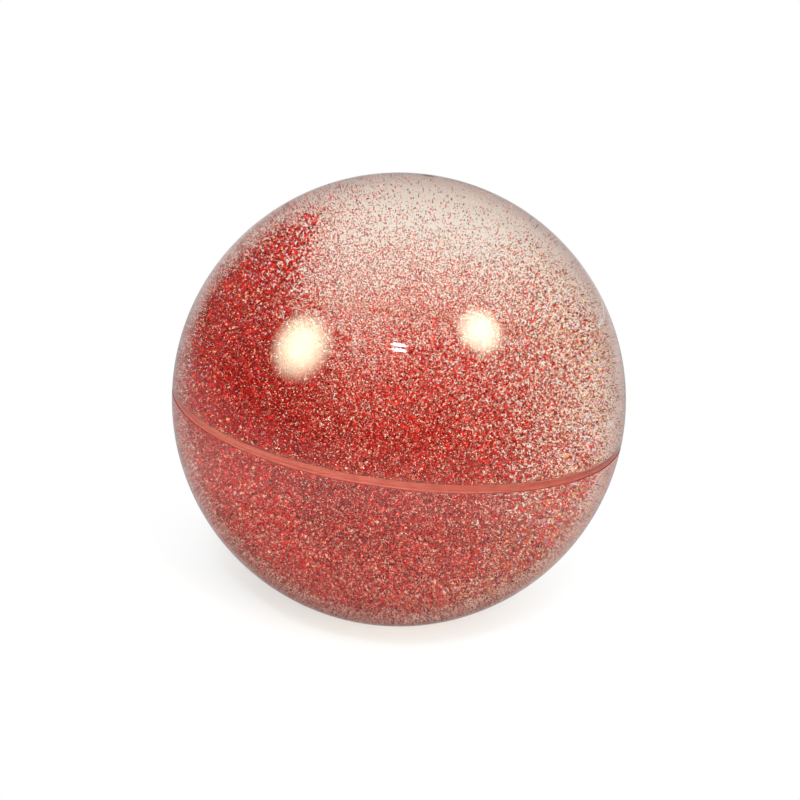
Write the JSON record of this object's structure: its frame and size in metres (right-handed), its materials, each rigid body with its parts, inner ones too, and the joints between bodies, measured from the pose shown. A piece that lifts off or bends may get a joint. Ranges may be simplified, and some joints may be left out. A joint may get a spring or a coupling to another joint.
{
  "type": "glitter water ball",
  "caption": "Clear round ball of bonded half shells, filled with water and red glitter that swirls when the ball is turned or shaken.",
  "frame": {"origin": "centre of the ball", "axes": "+Z along the axis through the fill plug, square to the seam; the seam lies in the XY plane; -Y faces the viewer"},
  "size_m": [0.1, 0.1, 0.1],
  "materials": {
    "clear_upper": "polished",
    "clear_lower": "polished",
    "bond": "satin",
    "plug": "gloss",
    "sealant": "gloss",
    "water": "polished",
    "glitter": "gloss"
  },
  "bodies": {
    "shell": {"upper_shell": "clear_upper", "lower_shell": "clear_lower", "seam_bond": "bond", "fill_plug": "plug", "plug_seal": "sealant"},
    "contents": {"water_fill": "water", "floating_glitter": "glitter", "swirling_glitter": "glitter", "settled_glitter": "glitter"}
  },
  "joints": [
    {"name": "contents_swirl", "type": "hinge", "parent": "shell", "child": "contents", "pos_m": [0, 0, 0], "axis": [0, 0, 1], "continuous": true}
  ]
}
